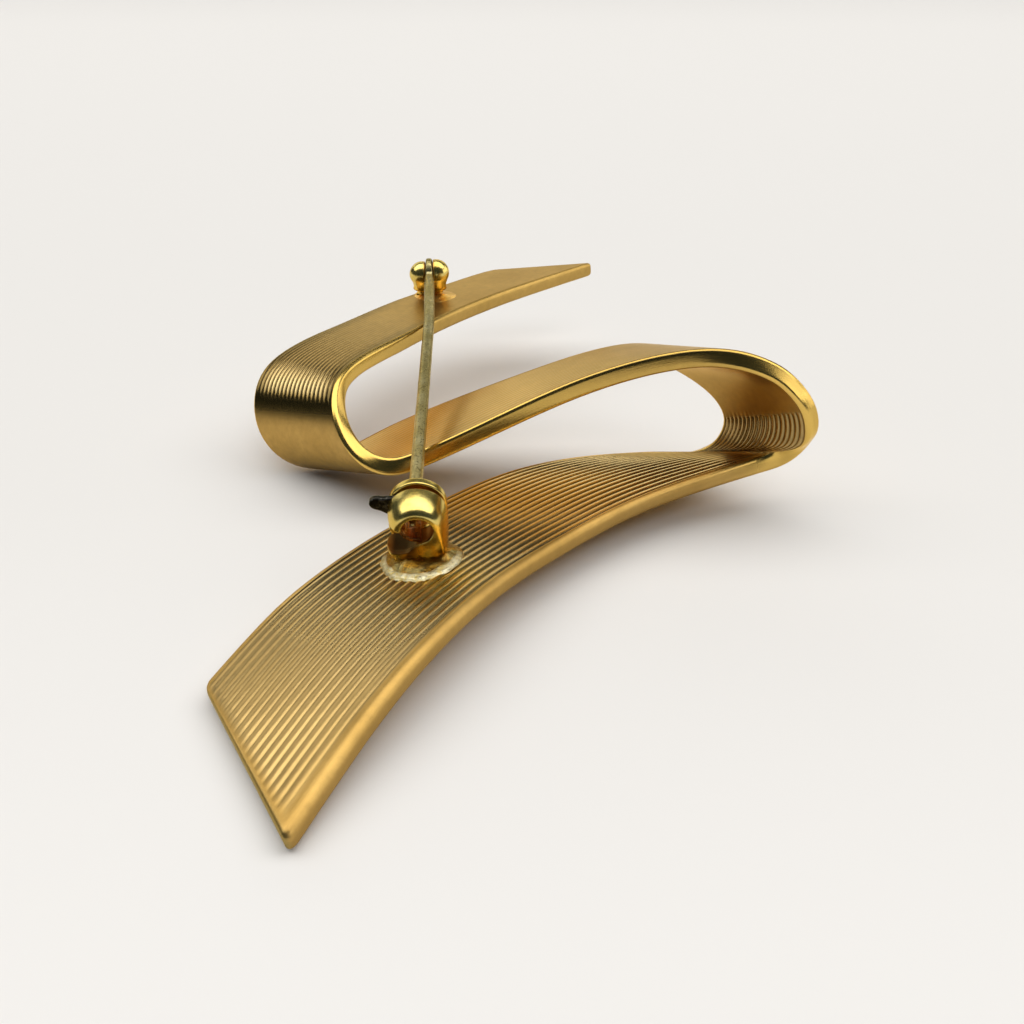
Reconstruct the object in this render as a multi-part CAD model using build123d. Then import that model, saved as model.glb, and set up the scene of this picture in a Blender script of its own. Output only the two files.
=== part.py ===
from build123d import *
import os
from collections import namedtuple
from math import sqrt

# A ribbon brooch lying on the table with its pinned back up, in millimetres.
# +Z is up off the table, +Y runs from the wide tail to the narrow tail, +X from the left loop to the right loop.

# The ribbon
half_span = 18.5            # from the middle to the outside of a loop, along X
half_reach = 29.0           # from the middle to the end of a tail, along Y
loop_rise = 11.3            # the height that the fold table's heights are shares of
metal_thickness = 1.15
rim_rounding = 0.28         # radius of the ribbon's rounded long edges
tail_corner_radius = 0.45   # rounding of the corners of the cut ends
cutter_reach = 1.3          # how far the corner cutters reach past the metal, as a factor
touch = 0.01                # two places nearer than this are the same

# The pin
wire_diameter = 0.80
eye_radius = 1.00           # the flattened round end that turns on the axle
eye_thickness = 0.56
eye_edge_rounding = 0.20
shank_start = 1.12          # from the axle to where the flattened metal starts to widen
shank_end = 1.90            # from the axle to where the wire is round
axle_diameter = 0.60
axle_side_length = 0.50     # how far the axle enters each cheek
kink_distance = 9.0         # from the axle to the wire's slight bend
kink_right = 0.21           # how far the bend lies to the right of the straight way
kink_rise = 0.43            # and how far above it, to clear the narrow tail's rim
wire_end_offset = 0.25      # how far the wire lies to the left of the bore's centre line
point_length = 1.6          # the tapered tip
point_radius = 0.12
tip_setback = 0.6           # the tip stays this far inside the catch's front

# The hinge
ball_radius = 1.05          # the two ball-shaped cheeks
ball_offset = 0.56          # from the middle of the hinge to a ball's centre
cheek_gap = 0.64            # between the cheeks, for the eye
neck_top_radius = 0.98
neck_foot_radius = 0.66
neck_top_drop = 0.35        # from the axle down to the top of the necks
hinge_foot_drop = 1.15      # from the axle down to the foot's upper face
foot_width = 2.50
foot_length = 1.40
foot_corner = 0.55
hinge_clearance = 0.04      # round the axle in its sockets
hinge_height = 2.40         # from the middle of the ribbon's metal to the axle
hinge_row = 28.44           # place along the fold table's rows
hinge_across = 0.79         # share of the way from the near edge to the far edge

# The catch
ring_outer_radius = 1.70
ring_bore_radius = 1.09
front_ring_length = 1.85
back_ring_length = 0.60
ring_groove = 0.45          # between the rings, where the tab turns
groove_drop = 0.70          # the groove ends this far under the bore's centre line
front_edge_rounding = 0.55
back_edge_rounding = 0.20
catch_height = 3.20         # from the middle of the ribbon's metal to the bore's centre line
catch_row = 3.60
catch_across = 0.59
mouth_width = 1.50
mouth_offset = 0.30         # how far the mouth's middle runs below the bore's centre line
mouth_angle = 200.0         # where the mouth opens, seen from the pin's tip, counted from +X over the top

# The sleeve
sleeve_clearance = 0.04
sleeve_bore_radius = 0.78
sleeve_front_setback = 0.40
sleeve_back_setback = 0.06
sleeve_slot_width = 1.00
sleeve_slot_angle = 318.0   # closed: the slot faces away from the mouth
tab_angle = 166.0
tab_reach = 2.80            # from the bore's centre line to the tab's end
tab_width = 0.84
tab_thickness = 0.37

# Solder
solder_height = 0.25        # above the ribbon's surface
catch_solder_border = 0.75  # how far the solder spreads round the catch's block
hinge_solder_border = 0.25
solder_slope = 0.30         # share of that spread that is left at the top of a pool

# Every row is one straight line across the ribbon, from its near edge to its far edge.
# x is a share of half_span, y of half_reach and z of loop_rise, at the middle of the metal.
Fold = namedtuple("Fold", "place near_x near_y near_z far_x far_y far_z")
folds = [
    Fold("wide end",        -0.515, -1.020,  0.060, -0.840, -0.675,  0.060),
    Fold("wide tail",       -0.390, -0.860,  0.170, -0.800, -0.590,  0.055),
    Fold("wide tail",       -0.250, -0.695,  0.255, -0.730, -0.475,  0.070),
    Fold("wide tail",       -0.070, -0.500,  0.265, -0.640, -0.370,  0.090),
    Fold("wide tail",        0.130, -0.330,  0.235, -0.495, -0.210,  0.070),
    Fold("wide tail",        0.355, -0.185,  0.230, -0.295, -0.050,  0.060),
    Fold("wide tail",        0.580, -0.090,  0.250, -0.015,  0.110,  0.060),
    Fold("right loop foot",  0.780, -0.035,  0.290,  0.280,  0.180,  0.065),
    Fold("right loop foot",  0.885, -0.015,  0.320,  0.440,  0.170,  0.100),
    Fold("right loop foot",  0.960, -0.025,  0.385,  0.580,  0.145,  0.160),
    Fold("right loop",       0.995, -0.050,  0.490,  0.690,  0.120,  0.245),
    Fold("right loop",       0.990, -0.085,  0.620,  0.755,  0.110,  0.355),
    Fold("right loop",       0.965, -0.095,  0.745,  0.770,  0.115,  0.465),
    Fold("right loop",       0.915, -0.090,  0.855,  0.730,  0.130,  0.590),
    Fold("right loop",       0.840, -0.080,  0.945,  0.625,  0.165,  0.710),
    Fold("right loop top",   0.730, -0.070,  1.000,  0.505,  0.195,  0.780),
    Fold("right loop top",   0.550, -0.050,  0.985,  0.305,  0.240,  0.715),
    Fold("middle band",      0.360, -0.035,  0.895,  0.095,  0.250,  0.590),
    Fold("middle band",      0.085, -0.020,  0.690, -0.245,  0.245,  0.375),
    Fold("middle band",     -0.190, -0.025,  0.465, -0.540,  0.220,  0.175),
    Fold("left loop foot",  -0.335, -0.035,  0.365, -0.680,  0.200,  0.080),
    Fold("left loop foot",  -0.425, -0.040,  0.330, -0.780,  0.195,  0.060),
    Fold("left loop foot",  -0.515, -0.030,  0.370, -0.885,  0.195,  0.110),
    Fold("left loop",       -0.580,  0.000,  0.465, -0.960,  0.210,  0.235),
    Fold("left loop",       -0.615,  0.045,  0.575, -0.990,  0.250,  0.380),
    Fold("left loop",       -0.620,  0.100,  0.650, -0.975,  0.300,  0.505),
    Fold("left loop top",   -0.585,  0.185,  0.685, -0.895,  0.380,  0.590),
    Fold("narrow tail",     -0.470,  0.320,  0.690, -0.745,  0.510,  0.620),
    Fold("narrow tail",     -0.290,  0.535,  0.670, -0.520,  0.730,  0.620),
    Fold("narrow tail",     -0.050,  0.730,  0.675, -0.320,  0.875,  0.620),
    Fold("narrow tail",      0.150,  0.870,  0.675, -0.215,  0.945,  0.625),
    Fold("narrow end",       0.375,  1.020,  0.675, -0.120,  1.005,  0.625),
]


def edge_points():
    """The near and far edge points of every fold row, in millimetres."""
    near = [Vector(f.near_x * half_span, f.near_y * half_reach, f.near_z * loop_rise) for f in folds]
    far = [Vector(f.far_x * half_span, f.far_y * half_reach, f.far_z * loop_rise) for f in folds]
    return near, far


def section_plane(near, far, row):
    """The plane of one cross-section: its x runs from near edge to far edge, its y off the pinned side."""
    before = max(row - 1, 0)
    after = min(row + 1, len(near) - 1)
    along = (near[after] - near[before]) + (far[after] - far[before])
    across = (far[row] - near[row]).normalized()
    off_side = along.cross(across).normalized()
    middle = (near[row] + far[row]) * 0.5
    return Plane(origin=middle, x_dir=across, z_dir=across.cross(off_side))


def metal_plane(place, across):
    """A plane in the middle of the metal, between two fold rows: its z points off the pinned side."""
    near, far = edge_points()
    row = int(place)
    share = place - row
    near_edge = near[row] * (1 - share) + near[row + 1] * share
    far_edge = far[row] * (1 - share) + far[row + 1] * share
    before = section_plane(near, far, row).y_dir
    after = section_plane(near, far, row + 1).y_dir
    off_side = before * (1 - share) + after * share
    origin = near_edge * (1 - across) + far_edge * across
    return Plane(origin=origin, x_dir=far_edge - near_edge, z_dir=off_side)


def pin_frames():
    """The hinge's and the catch's planes: x along the axle, z from the hinge towards the pin's tip."""
    hinge = metal_plane(hinge_row, hinge_across).origin + Vector(0, 0, hinge_height)
    catch = metal_plane(catch_row, catch_across).origin + Vector(0, 0, catch_height)
    towards_tip = (catch - hinge).normalized()
    axle = towards_tip.cross(Vector(0, 0, -1)).normalized()
    hinge_plane = Plane(origin=hinge, x_dir=axle, z_dir=towards_tip)
    catch_plane = Plane(origin=catch, x_dir=axle, z_dir=towards_tip)
    return hinge_plane, catch_plane, (catch - hinge).length


def corner_cutter(corner, along_end, along_rim):
    """A prism that rounds one corner of a cut end to tail_corner_radius."""
    a = along_end.normalized()
    b = along_rim.normalized()
    half_cosine = (a + b).length / 2
    half_sine = sqrt(1 - half_cosine ** 2)
    inward = (a + b).normalized()
    centre = corner + inward * (tail_corner_radius / half_sine)
    tangent_length = tail_corner_radius * half_cosine / half_sine
    normal = a.cross(b).normalized()
    plane = Plane(origin=centre, x_dir=inward, z_dir=normal)
    outline = [Vector(0, 0, 0)]
    for point in (corner + a * tangent_length, corner, corner + b * tangent_length):
        outline.append(plane.to_local_coords(point) * cutter_reach)
    wedge = make_face(Polyline(*[(p.X, p.Y) for p in outline], close=True).edges())
    wedge = wedge - Circle(tail_corner_radius)
    return extrude(plane * wedge, amount=metal_thickness, both=True)


def ribbon_strip():
    """The folded strip, lofted through one rounded rectangle for each fold row."""
    near, far = edge_points()
    sections = []
    for row in range(len(folds)):
        width = (far[row] - near[row]).length
        shape = RectangleRounded(width, metal_thickness, rim_rounding)
        sections.append(section_plane(near, far, row) * shape)
    strip = loft(sections)
    strip -= corner_cutter(near[0], far[0] - near[0], near[1] - near[0])
    strip -= corner_cutter(far[0], near[0] - far[0], far[1] - far[0])
    strip -= corner_cutter(near[-1], far[-1] - near[-1], near[-2] - near[-1])
    strip -= corner_cutter(far[-1], near[-1] - far[-1], far[-2] - far[-1])
    return strip


def solder_pool(place, across, width, length, border):
    """A low mound with sloping sides on the pinned side, sunk into the metal."""
    base = metal_plane(place, across)
    depth = metal_thickness / 2 + solder_height
    top_border = border * solder_slope
    bottom = RectangleRounded(width + 2 * border, length + 2 * border, border)
    top = RectangleRounded(width + 2 * top_border, length + 2 * top_border, top_border)
    return loft([base * bottom, base.offset(depth) * top])


def catch_length():
    """From the front of the front ring to the back of the back ring."""
    return front_ring_length + ring_groove + back_ring_length


def hinge_body():
    """Two ball-shaped cheeks on necks with one foot, with blind sockets for the axle."""
    neck_height = hinge_foot_drop - neck_top_drop
    foot_height = hinge_height - hinge_foot_drop
    foot = RectangleRounded(foot_width, foot_length, foot_corner)
    foot = extrude(Plane.XZ.offset(hinge_foot_drop) * foot, amount=foot_height)
    body = Part() + foot
    for side in (-1, 1):
        body += Pos(side * ball_offset, 0, 0) * Sphere(ball_radius)
        neck = Rotation(90, 0, 0) * Cone(neck_top_radius, neck_foot_radius, neck_height)
        body += Pos(side * ball_offset, -neck_top_drop - neck_height / 2, 0) * neck
    slit_height = ball_radius + hinge_foot_drop
    slit = Box(cheek_gap, slit_height, 4 * ball_radius)
    body -= Pos(0, ball_radius - slit_height / 2, 0) * slit
    socket_length = cheek_gap + 2 * (axle_side_length + hinge_clearance)
    socket_radius = axle_diameter / 2 + hinge_clearance
    body -= Rotation(0, 90, 0) * Cylinder(socket_radius, socket_length)
    return body


def catch_body():
    """Two rings on one block, with the sleeve's bore, the mouth and the groove for the tab."""
    length = catch_length()
    width = 2 * ring_outer_radius
    case = Circle(ring_outer_radius) + Pos(0, -catch_height / 2) * Rectangle(width, catch_height)
    body = extrude(case, amount=length / 2, both=True)
    for end, rounding in ((length / 2, front_edge_rounding), (-length / 2, back_edge_rounding)):
        rim = body.edges().filter_by_position(Axis.Z, end - touch, end + touch)
        rim = rim.filter_by(lambda e: e.center().Y > touch - catch_height)
        body = fillet(rim, rounding)
    body -= Cylinder(ring_bore_radius, 2 * length)
    mouth_length = 2 * width
    mouth = Pos(mouth_length / 2, mouth_offset, 0) * Box(mouth_length, mouth_width, 2 * length)
    body -= Rotation(0, 0, mouth_angle) * mouth
    groove_height = ring_outer_radius + groove_drop
    groove_middle = (ring_outer_radius - groove_drop) / 2
    groove_place = length / 2 - front_ring_length - ring_groove / 2
    body -= Pos(0, groove_middle, groove_place) * Box(2 * width, groove_height, ring_groove)
    return body


def pin_stem(distance):
    """The pin: a flattened eye with its cross axle, and a wire with a slight bend and a tapered tip."""
    radius = wire_diameter / 2
    eye = Rotation(0, 90, 0) * Cylinder(eye_radius, eye_thickness)
    eye = fillet(eye.edges().filter_by(GeomType.CIRCLE), eye_edge_rounding)
    axle_length = cheek_gap + 2 * axle_side_length
    axle = Rotation(0, 90, 0) * Cylinder(axle_diameter / 2, axle_length)
    bend = Vector(kink_right, kink_rise, kink_distance)
    tip = Vector(-wire_end_offset, 0, distance + catch_length() / 2 - tip_setback)
    start = bend * (shank_end / bend.length)
    flat = bend * (shank_start / bend.length)
    flat_section = RectangleRounded(eye_thickness, wire_diameter, eye_thickness / 2 - touch)
    side = Vector(1, 0, 0)
    flat_plane = Plane(origin=flat, x_dir=side, z_dir=bend)
    round_plane = Plane(origin=start, x_dir=side, z_dir=bend)
    shank = loft([flat_plane * flat_section, round_plane * Circle(radius)])
    shank += extrude(flat_plane * flat_section, amount=shank_start - axle_diameter, dir=bend * -1)
    direction = (tip - bend).normalized()
    shoulder = tip - direction * point_length
    stem = eye + axle + shank + Sphere(radius).moved(Location(bend))
    for first, last in ((start, bend), (bend, shoulder)):
        reach = last - first
        stem += extrude(Plane(origin=first, z_dir=reach) * Circle(radius), amount=reach.length)
    point = Cone(radius, point_radius, point_length)
    stem += Plane(origin=(shoulder + tip) * 0.5, z_dir=direction) * point
    return stem


def catch_sleeve():
    """The split sleeve that turns inside the rings, with the tab that turns it."""
    length = catch_length()
    outer_radius = ring_bore_radius - sleeve_clearance
    sleeve_length = length - sleeve_front_setback - sleeve_back_setback
    sleeve_middle = (sleeve_back_setback - sleeve_front_setback) / 2
    sleeve = Pos(0, 0, sleeve_middle) * Cylinder(outer_radius, sleeve_length)
    tab_end_radius = tab_width / 2
    tab_length = tab_reach - tab_end_radius
    groove_place = length / 2 - front_ring_length - ring_groove / 2
    tab_shape = Pos(tab_length / 2, 0) * Rectangle(tab_length, tab_width)
    tab_shape += Pos(tab_length, 0) * Circle(tab_end_radius)
    tab = extrude(tab_shape, amount=tab_thickness / 2, both=True)
    sleeve += Pos(0, 0, groove_place) * (Rotation(0, 0, tab_angle) * tab)
    sleeve -= Cylinder(sleeve_bore_radius, 2 * length)
    slot = Pos(outer_radius, 0, 0) * Box(2 * outer_radius, sleeve_slot_width, 2 * length)
    sleeve -= Rotation(0, 0, sleeve_slot_angle) * slot
    return sleeve


def main():
    os.makedirs("parts", exist_ok=True)
    hinge_plane, catch_plane, distance = pin_frames()
    ribbon = ribbon_strip()
    print("strip", ribbon.volume, ribbon.is_valid, len(ribbon.solids()))
    catch_width = 2 * ring_outer_radius
    ribbon += solder_pool(catch_row, catch_across, catch_width, catch_length(), catch_solder_border)
    ribbon += solder_pool(hinge_row, hinge_across, foot_width, foot_length, hinge_solder_border)
    ribbon += catch_plane * catch_body()
    ribbon += hinge_plane * hinge_body()
    print("ribbon", ribbon.volume, ribbon.is_valid, len(ribbon.solids()), ribbon.bounding_box())
    pin = hinge_plane * pin_stem(distance)
    sleeve = catch_plane * catch_sleeve()
    box = ribbon.bounding_box()
    middle = box.center()
    to_origin = Pos(-middle.X, -middle.Y, -box.min.Z)
    ribbon = to_origin * ribbon
    pin = to_origin * pin
    sleeve = to_origin * sleeve
    print("pin", pin.volume, pin.is_valid, len(pin.solids()))
    print("sleeve", sleeve.volume, sleeve.is_valid, len(sleeve.solids()))
    moved = Vector(-middle.X, -middle.Y, -box.min.Z)
    print("hinge", hinge_plane.origin + moved, hinge_plane.x_dir)
    print("catch", catch_plane.origin + moved, catch_plane.z_dir, "moved", moved)
    export_step(ribbon, "parts/ribbon.step")
    export_step(pin, "parts/pin_stem.step")
    export_step(sleeve, "parts/catch_sleeve.step")


if __name__ == "__main__":
    main()
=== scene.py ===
import math

import bpy
import numpy as np
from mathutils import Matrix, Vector


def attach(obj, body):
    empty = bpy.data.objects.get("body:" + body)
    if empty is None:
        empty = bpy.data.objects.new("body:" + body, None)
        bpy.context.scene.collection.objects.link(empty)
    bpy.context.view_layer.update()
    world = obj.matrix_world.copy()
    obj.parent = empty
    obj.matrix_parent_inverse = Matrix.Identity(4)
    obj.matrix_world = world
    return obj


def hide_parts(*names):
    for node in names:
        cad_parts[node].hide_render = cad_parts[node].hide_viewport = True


# The looks of a ribbon brooch that lies on a table with its pinned back up.
# All shapes are worked out in millimetres and put into the meshes in metres.

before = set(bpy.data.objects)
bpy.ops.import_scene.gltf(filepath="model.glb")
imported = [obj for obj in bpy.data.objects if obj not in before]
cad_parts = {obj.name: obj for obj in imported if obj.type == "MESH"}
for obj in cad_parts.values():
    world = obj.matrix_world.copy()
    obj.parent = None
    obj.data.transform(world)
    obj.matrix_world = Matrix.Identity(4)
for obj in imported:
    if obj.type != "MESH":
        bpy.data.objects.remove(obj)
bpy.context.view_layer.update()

MM = 0.001

# Sizes of the ribbon
HALF_SPAN = 18.5
HALF_REACH = 29.0
LOOP_RISE = 11.3
TO_ORIGIN = np.array([-0.085935, -0.185523, -0.087321])   # puts the middle of the box over the origin
THICKNESS = 1.15
RIM_RADIUS = 0.28
WIDE_TAIL_RIM = 0.12     # the wide tail's rims are rounder by this
RIM_CROWN = 0.035
END_EDGE = 0.26          # rounding of the cut ends' edges
RIB_COUNT = 18
RIB_DEPTH = 0.11
RIB_STEEPNESS = 0.18     # a rib is no deeper than this share of its width
RIBBON_ROWS = 300

# How far the corners of the cut ends are drawn in: along the ribbon, then across it
WIDE_NEAR_CORNER = (0.55, 0.50)
WIDE_FAR_CORNER = (0.95, 0.75)
NARROW_NEAR_CORNER = (0.45, 0.40)
NARROW_FAR_CORNER = (3.20, 0.42)

# Sizes of the pin and the hinge
HINGE_PLACE = 28.44
HINGE_ACROSS = 0.79
HINGE_HEIGHT = 2.40
WIRE_RADIUS = 0.40
EYE_RADIUS = 1.12
EYE_HALF_THICKNESS = 0.285
AXLE_RADIUS = 0.30
AXLE_HALF_LENGTH = 0.82
BEND = np.array([0.21, 0.43, 9.0])     # across, up and along from the axle
BEND_SOFTNESS = 0.5
TIP_SIDE = -0.25
TIP_SETBACK = 0.6
POINT_LENGTH = 1.6
POINT_RADIUS = 0.12
BALL_RADIUS = 1.05
BALL_OFFSET = 0.56
LEFT_BALL_DROP = 0.17
HALF_SLIT = 0.32

# Sizes of the catch and its sleeve
CATCH_PLACE = 3.60
CATCH_ACROSS = 0.59
CATCH_HEIGHT = 3.20
CATCH_RADIUS = 1.70
BORE_RADIUS = 1.09
FRONT_LENGTH = 1.85
GROOVE = 0.45
BACK_LENGTH = 0.60
CATCH_LENGTH = FRONT_LENGTH + GROOVE + BACK_LENGTH
WEB_SHARE = 0.992        # the web between the rings follows their lines times this
THIN_WALL = 0.6          # a rounding shrinks where the wall is thinner than this
END_STEPS = np.array([0, 0.0015, 0.004, 0.009, 0.016])    # shares of a ring's path close to its end
END_SHRINK = np.array([0.14, 0.07, 0.03, 0.008, 0])       # how far its outline is drawn in there
SLEEVE_OUTSIDE = 1.05
SLEEVE_BORE = 0.78
SLEEVE_BACK_SETBACK = 0.06
SLEEVE_FRONT_SETBACK = 0.40
SLEEVE_START = -7.8      # degrees round the bore, the slot is the rest of the turn
SLEEVE_STOP = 283.8
TAB_ANGLE = 166.0
TAB_STRAIGHT = 2.30      # from the bore's centre line to where the round end starts
TAB_ROUND = 0.49
TAB_HALF_WIDTH = 0.43
TAB_ROOT_FLARE = 0.19
TAB_HALF_THICKNESS = 0.185

# Sizes of the room, in metres
TABLE_HALF = 4.0
WALL_RADIUS = 3.2
WALL_HEIGHT = 3.0
WALL_FOOT = -0.01

# Each row is one straight line across the ribbon, near edge x y z and far edge x y z,
# as shares of HALF_SPAN, HALF_REACH and LOOP_RISE.
FOLDS = np.array([
    [-0.515, -1.020, 0.060, -0.840, -0.675, 0.060],
    [-0.390, -0.860, 0.170, -0.800, -0.590, 0.055],
    [-0.250, -0.695, 0.255, -0.730, -0.475, 0.070],
    [-0.070, -0.500, 0.265, -0.640, -0.370, 0.090],
    [0.130, -0.330, 0.235, -0.495, -0.210, 0.070],
    [0.355, -0.185, 0.230, -0.295, -0.050, 0.060],
    [0.580, -0.090, 0.250, -0.015, 0.110, 0.060],
    [0.780, -0.035, 0.290, 0.280, 0.180, 0.065],
    [0.885, -0.015, 0.320, 0.440, 0.170, 0.100],
    [0.960, -0.025, 0.385, 0.580, 0.145, 0.160],
    [0.995, -0.050, 0.490, 0.690, 0.120, 0.245],
    [0.990, -0.085, 0.620, 0.755, 0.110, 0.355],
    [0.965, -0.095, 0.745, 0.770, 0.115, 0.465],
    [0.915, -0.090, 0.855, 0.730, 0.130, 0.590],
    [0.840, -0.080, 0.945, 0.625, 0.165, 0.710],
    [0.730, -0.070, 1.000, 0.505, 0.195, 0.780],
    [0.550, -0.050, 0.985, 0.305, 0.240, 0.715],
    [0.360, -0.035, 0.895, 0.095, 0.250, 0.590],
    [0.085, -0.020, 0.690, -0.245, 0.245, 0.375],
    [-0.190, -0.025, 0.465, -0.540, 0.220, 0.175],
    [-0.335, -0.035, 0.365, -0.680, 0.200, 0.080],
    [-0.425, -0.040, 0.330, -0.780, 0.195, 0.060],
    [-0.515, -0.030, 0.370, -0.885, 0.195, 0.110],
    [-0.580, 0.000, 0.465, -0.960, 0.210, 0.235],
    [-0.615, 0.045, 0.575, -0.990, 0.250, 0.380],
    [-0.620, 0.100, 0.650, -0.975, 0.300, 0.505],
    [-0.585, 0.185, 0.685, -0.895, 0.380, 0.590],
    [-0.470, 0.320, 0.690, -0.745, 0.510, 0.620],
    [-0.290, 0.535, 0.670, -0.520, 0.730, 0.620],
    [-0.050, 0.730, 0.675, -0.320, 0.875, 0.620],
    [0.150, 0.870, 0.675, -0.215, 0.945, 0.625],
    [0.375, 1.020, 0.675, -0.120, 1.005, 0.625],
]).reshape(-1, 2, 3) * [HALF_SPAN, HALF_REACH, LOOP_RISE] + TO_ORIGIN
EDGES = FOLDS.reshape(-1, 6)
STEPS = np.sqrt((np.diff(EDGES, axis=0) ** 2).sum(1) / 2)
KNOTS = np.concatenate([[0.0], np.cumsum(STEPS)])


def unit(vectors):
    """The vectors divided by their own lengths."""
    return vectors / np.linalg.norm(vectors, axis=-1, keepdims=True)


def ease(value, start, stop):
    """0 before start, 1 after stop, and 3t^2 - 2t^3 in between."""
    t = np.clip((value - start) / (stop - start), 0, 1)
    return t * t * (3 - 2 * t)


def between(value, start, full, fade, stop):
    """0 before start, 1 from full to fade, 0 after stop, and eased on the way."""
    return ease(value, start, full) * (1 - ease(value, fade, stop))


def bulge(value, centre, half_width):
    """A bell of height 1 round the centre: e to the minus square of the distance in half widths."""
    return np.exp(-(((value - centre) / half_width) ** 2))


def through(knots, values, where):
    """A curve through values at knots: a cubic on each stretch, with equal slope and bend where two meet."""
    h = np.diff(knots)
    count = len(knots)
    inner = np.arange(1, count - 1)
    system = np.zeros((count, count))
    right = np.zeros(values.shape)
    system[0, 0] = system[-1, -1] = 1
    system[inner, inner - 1] = h[:-1]
    system[inner, inner] = 2 * (h[:-1] + h[1:])
    system[inner, inner + 1] = h[1:]
    rise = np.diff(values, axis=0) / h[:, None]
    right[inner] = 6 * np.diff(rise, axis=0)
    bend = np.linalg.solve(system, right)
    k = np.clip(np.searchsorted(knots, where, side="right") - 1, 0, count - 2)
    a = ((knots[k + 1] - where) / h[k])[..., None]
    b = 1 - a
    cubic = (a ** 3 - a) * bend[k] + (b ** 3 - b) * bend[k + 1]
    return a * values[k] + b * values[k + 1] + cubic * h[k][..., None] ** 2 / 6


def ribbon_lines(where):
    """The near edge, the far edge, the unit vector across and the unit normal off the pinned side,
    at lengths along the ribbon. The normal is the product of the middle's slope and the vector across."""
    edges = through(KNOTS, EDGES, where)
    ahead = through(KNOTS, EDGES, where + 0.02) - through(KNOTS, EDGES, where - 0.02)
    near, far = edges[..., :3], edges[..., 3:]
    along = ahead[..., :3] + ahead[..., 3:]
    across = unit(far - near)
    off_side = unit(np.cross(along, across))
    return near, far, across, off_side


def on_metal(place, across, height):
    """A point over the ribbon's pinned side: a share across the line of that fold place, and out along
    the normal."""
    near, far, _, off_side = ribbon_lines(np.interp(place, np.arange(len(KNOTS)), KNOTS))
    share = np.asarray(across)[..., None]
    out = THICKNESS / 2 + np.asarray(height)[..., None]
    return near * (1 - share) + far * share + off_side * out


def fold_point(place, across):
    """The point on the straight line between two fold rows, as the solid's frames use it."""
    row = int(place)
    share = place - row
    edge = FOLDS[row] * (1 - share) + FOLDS[row + 1] * share
    return edge[0] * (1 - across) + edge[1] * across


HINGE = fold_point(HINGE_PLACE, HINGE_ACROSS) + [0, 0, HINGE_HEIGHT]
CATCH = fold_point(CATCH_PLACE, CATCH_ACROSS) + [0, 0, CATCH_HEIGHT]
REACH = np.linalg.norm(CATCH - HINGE)
FRONT = unit(CATCH - HINGE)
AXLE = unit(np.cross(FRONT, [0, 0, -1]))
UP = np.cross(FRONT, AXLE)


def placed(local, centre):
    """Local x along the axle, y up and z towards the pin's tip, set at a centre."""
    return centre + local[..., :1] * AXLE + local[..., 1:2] * UP + local[..., 2:] * FRONT


def put_mesh(name, parts, body, material):
    """One object from several closed grids of points, rows by columns, whose columns close on themselves.
    The first and last row of each are closed by one face. Masks become point attributes."""
    points, corners, starts, totals, smooth = [], [], [], [], []
    masks = {}
    used = 0
    offset = 0
    for part in parts:
        grid = part["points"]
        rows, cols, _ = grid.shape
        index = np.arange(rows * cols).reshape(rows, cols) + used
        turned = np.roll(index, -1, axis=1)
        quads = np.stack([index[:-1], turned[:-1], turned[1:], index[1:]], axis=-1).reshape(-1, 4)
        sizes = np.concatenate([np.full(len(quads), 4), [cols, cols]])
        points.append(grid.reshape(-1, 3))
        corners.append(np.concatenate([quads.ravel(), index[0, ::-1], index[-1]]))
        starts.append(offset + np.concatenate([[0], np.cumsum(sizes)[:-1]]))
        totals.append(sizes)
        smooth.append(np.concatenate([np.ones(len(quads), bool), np.zeros(2, bool)]))
        for key, values in part["masks"].items():
            masks.setdefault(key, []).append(values.reshape((rows * cols,) + values.shape[2:]))
        used += rows * cols
        offset += sizes.sum()
    mesh = bpy.data.meshes.new(name)
    all_points = np.concatenate(points) * MM
    all_corners = np.concatenate(corners)
    mesh.vertices.add(len(all_points))
    mesh.vertices.foreach_set("co", all_points.ravel())
    mesh.loops.add(len(all_corners))
    mesh.loops.foreach_set("vertex_index", all_corners)
    mesh.polygons.add(sum(len(s) for s in starts))
    mesh.polygons.foreach_set("loop_start", np.concatenate(starts))
    mesh.polygons.foreach_set("loop_total", np.concatenate(totals))
    mesh.polygons.foreach_set("use_smooth", np.concatenate(smooth))
    for key, values in masks.items():
        value = np.concatenate(values).astype(np.float32)
        kind = "FLOAT_VECTOR" if value.ndim == 2 else "FLOAT"
        attribute = mesh.attributes.new(key, kind, "POINT")
        attribute.data.foreach_set("vector" if value.ndim == 2 else "value", value.ravel())
    mesh.update(calc_edges=True)
    mesh.validate()
    piece = bpy.data.objects.new(name, mesh)
    bpy.context.scene.collection.objects.link(piece)
    mesh.materials.append(material)
    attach(piece, body)
    return piece


def rounded_outline(corners, before, after, steps):
    """A closed outline with rounded corners, for each row of corners.
    A corner is a quarter of an ellipse that starts a length before the corner and stops a length after
    it."""
    t = np.linspace(0, 1, steps)[:, None]
    first, middle, last = (1 - t) ** 2, np.sqrt(2) * t * (1 - t), t ** 2
    start = corners + unit(np.roll(corners, 1, axis=1) - corners) * before[..., None]
    stop = corners + unit(np.roll(corners, -1, axis=1) - corners) * after[..., None]
    curve = start[:, :, None] * first + corners[:, :, None] * middle + stop[:, :, None] * last
    return (curve / (first + middle + last)).reshape(len(corners), -1, 2)


def cut_corner(distance, length, depth):
    """How far an edge is drawn in near a cut end: a quarter ellipse of that length and depth."""
    return depth - depth * np.sqrt(1 - np.clip(1 - distance / length, 0, 1) ** 2)


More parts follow.
